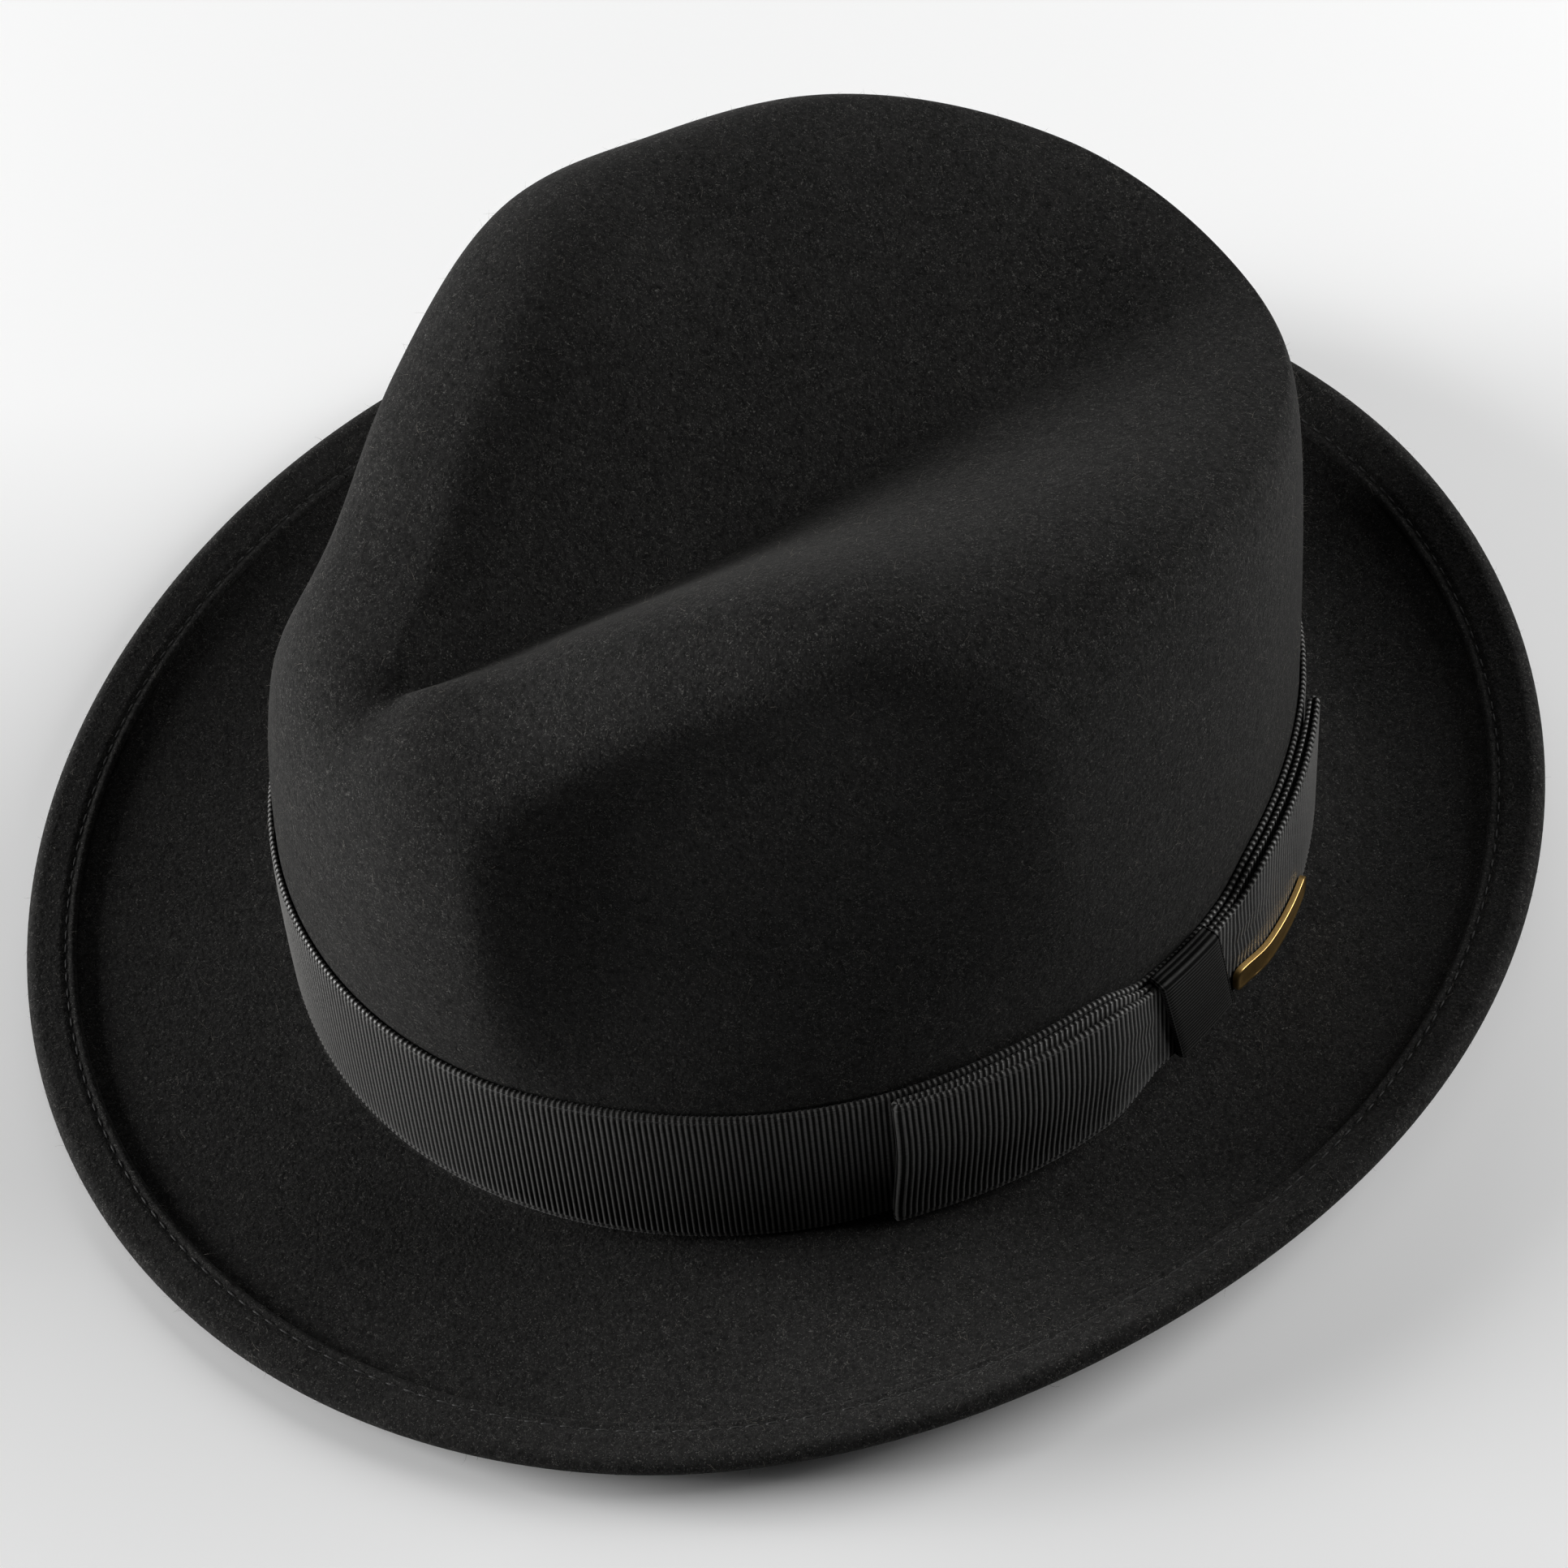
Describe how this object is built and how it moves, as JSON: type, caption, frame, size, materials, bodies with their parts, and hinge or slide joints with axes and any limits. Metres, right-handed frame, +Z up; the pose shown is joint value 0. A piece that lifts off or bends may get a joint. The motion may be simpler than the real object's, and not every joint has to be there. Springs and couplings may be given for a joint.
{
  "type": "felt hat",
  "caption": "Soft felt hat with a creased and pinched crown, a short turned-up brim, a ribbon band and a flat ribbon bow with a metal bar, worn on the head.",
  "frame": {"origin": "On the surface that the hat lies on, under the middle of its length and width", "axes": "+Z up through the crown, -Y to the front of the hat, +X to the wearer's left, the side with the bow"},
  "size_m": [0.2648, 0.296, 0.1325],
  "materials": {
    "felt": "matt wool felt with a fine nap",
    "ribbon": "ribbed grosgrain, low sheen",
    "metal_bar": "aged satin"
  },
  "bodies": {
    "root": {"felt_body": "felt", "ribbon_band": "ribbon", "bow_front_loop": "ribbon", "bow_knot": "ribbon", "bow_back_loop": "ribbon", "pin_bar": "metal_bar"}
  },
  "joints": []
}
